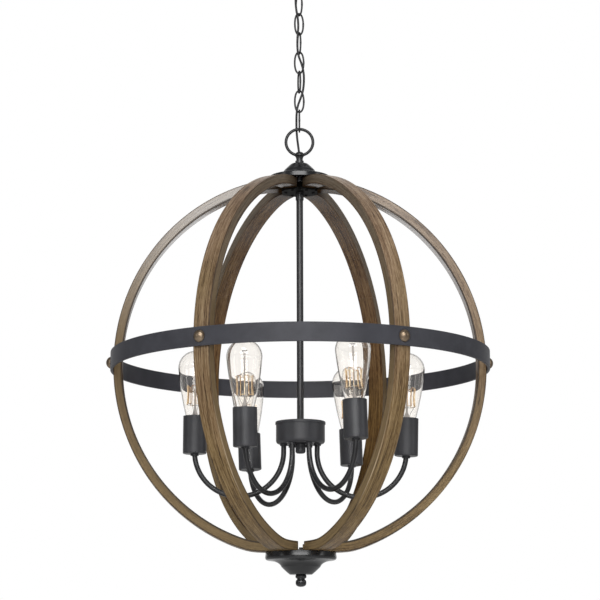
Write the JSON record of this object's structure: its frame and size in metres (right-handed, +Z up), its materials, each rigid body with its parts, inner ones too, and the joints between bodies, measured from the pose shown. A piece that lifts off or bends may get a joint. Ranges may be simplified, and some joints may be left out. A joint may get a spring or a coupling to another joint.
{
  "type": "pendant light",
  "caption": "Globe pendant light: wood ribs and a metal equator band around upright bulbs on curved arms, hung by ring and chain from a ceiling canopy.",
  "frame": {"origin": "centre of the mounting bar's upper face, on the ceiling, midway between its two box screw holes", "axes": "+Z up into the ceiling, the light hangs down along -Z; -Y is the side the picture shows; +X to the right of it"},
  "size_m": [0.6264, 0.6122, 1.0444],
  "materials": {
    "dark_metal": "satin charcoal powder coat",
    "wood": "weathered grey-brown wood grain",
    "bronze": "antique bronze",
    "zinc": "zinc plated",
    "porcelain": "glazed",
    "brass": "bright",
    "glass": "clear",
    "cord": "matt sheath"
  },
  "bodies": {
    "ceiling_fitting": {"mounting_bar": "zinc", "canopy_nipple": "zinc", "nipple_nut": "zinc", "canopy": "dark_metal", "screw_collar": "dark_metal", "canopy_loop": "dark_metal", "supply_cord": "cord"},
    "link_1": {"chain_link_1": "dark_metal"},
    "link_2": {"chain_link_2": "dark_metal"},
    "link_3": {"chain_link_3": "dark_metal"},
    "link_4": {"chain_link_4": "dark_metal"},
    "link_5": {"chain_link_5": "dark_metal"},
    "link_6": {"chain_link_6": "dark_metal"},
    "link_7": {"chain_link_7": "dark_metal"},
    "ring": {"hang_ring": "dark_metal"},
    "globe": {"swivel_head": "dark_metal", "top_cap": "dark_metal", "top_nipple": "zinc", "top_plate": "dark_metal", "rib_screws": "zinc", "stem_coupling": "dark_metal", "stem": "dark_metal", "stem_nuts": "zinc", "rib_1": "wood", "rib_2": "wood", "rib_3": "wood", "rib_4": "wood", "rib_5": "wood", "rib_6": "wood", "equator_band": "dark_metal", "band_bolts": "bronze", "bottom_cap": "dark_metal", "bottom_plate": "dark_metal", "bottom_stud": "zinc", "finial": "dark_metal", "hub_cover": "dark_metal", "hub_pan": "dark_metal", "hub_knob": "dark_metal", "arm_1": "dark_metal", "arm_2": "dark_metal", "arm_3": "dark_metal", "arm_4": "dark_metal", "arm_5": "dark_metal", "arm_6": "dark_metal", "arm_nuts": "dark_metal", "inner_wires": "cord", "socket_cups": "dark_metal", "lampholders": "porcelain"},
    "bulb_1": {"bulb_base_1": "brass", "bulb_glass_1": "glass"},
    "bulb_2": {"bulb_base_2": "brass", "bulb_glass_2": "glass"},
    "bulb_3": {"bulb_base_3": "brass", "bulb_glass_3": "glass"},
    "bulb_4": {"bulb_base_4": "brass", "bulb_glass_4": "glass"},
    "bulb_5": {"bulb_base_5": "brass", "bulb_glass_5": "glass"},
    "bulb_6": {"bulb_base_6": "brass", "bulb_glass_6": "glass"}
  },
  "joints": [
    {"name": "top_link_swing", "type": "hinge", "parent": "ceiling_fitting", "child": "link_1", "pos_m": [0, 0, -0.0656], "axis": [0.5, 0.866, 0], "range_deg": [-12, 12], "deforming": ["supply_cord"]},
    {"name": "link_2_swing", "type": "hinge", "parent": "link_1", "child": "link_2", "pos_m": [0, 0, -0.09825], "axis": [0.6691, -0.7431, 0], "range_deg": [-12, 12], "deforming": ["supply_cord"]},
    {"name": "link_3_swing", "type": "hinge", "parent": "link_2", "child": "link_3", "pos_m": [0, 0, -0.1316], "axis": [0.9397, 0.342, 0], "range_deg": [-12, 12], "deforming": ["supply_cord"]},
    {"name": "link_4_swing", "type": "hinge", "parent": "link_3", "child": "link_4", "pos_m": [0, 0, -0.16495], "axis": [0.342, -0.9397, 0], "range_deg": [-12, 12], "deforming": ["supply_cord"]},
    {"name": "link_5_swing", "type": "hinge", "parent": "link_4", "child": "link_5", "pos_m": [0, 0, -0.1983], "axis": [1, 0, 0], "range_deg": [-12, 12], "deforming": ["supply_cord"]},
    {"name": "link_6_swing", "type": "hinge", "parent": "link_5", "child": "link_6", "pos_m": [0, 0, -0.23165], "axis": [0.2588, -0.9659, 0], "range_deg": [-12, 12], "deforming": ["supply_cord"]},
    {"name": "link_7_swing", "type": "hinge", "parent": "link_6", "child": "link_7", "pos_m": [0, 0, -0.265], "axis": [1, 0, 0], "range_deg": [-12, 12], "deforming": ["supply_cord"]},
    {"name": "ring_swing", "type": "hinge", "parent": "link_7", "child": "ring", "pos_m": [0, 0, -0.29835], "axis": [0, -1, 0], "range_deg": [-12, 12], "deforming": ["supply_cord"]},
    {"name": "globe_swing", "type": "hinge", "parent": "ring", "child": "globe", "pos_m": [0, 0, -0.33865], "axis": [1, 0, 0], "range_deg": [-12, 12], "deforming": ["supply_cord"]},
    {"name": "bulb_1_unscrew", "type": "slide", "parent": "globe", "child": "bulb_1", "axis": [0.0279, 0, 0.9996], "range_m": [0, 0.028]},
    {"name": "bulb_2_unscrew", "type": "slide", "parent": "globe", "child": "bulb_2", "axis": [-0.0288, 0.0408, 0.9988], "range_m": [0, 0.028]},
    {"name": "bulb_3_unscrew", "type": "slide", "parent": "globe", "child": "bulb_3", "axis": [-0.0349, 0.0604, 0.9976], "range_m": [0, 0.028]},
    {"name": "bulb_4_unscrew", "type": "slide", "parent": "globe", "child": "bulb_4", "axis": [0.007, 0, 1], "range_m": [0, 0.028]},
    {"name": "bulb_5_unscrew", "type": "slide", "parent": "globe", "child": "bulb_5", "axis": [-0.0114, -0.0337, 0.9994], "range_m": [0, 0.028]},
    {"name": "bulb_6_unscrew", "type": "slide", "parent": "globe", "child": "bulb_6", "axis": [-0.0244, 0.0423, 0.9988], "range_m": [0, 0.028]}
  ]
}
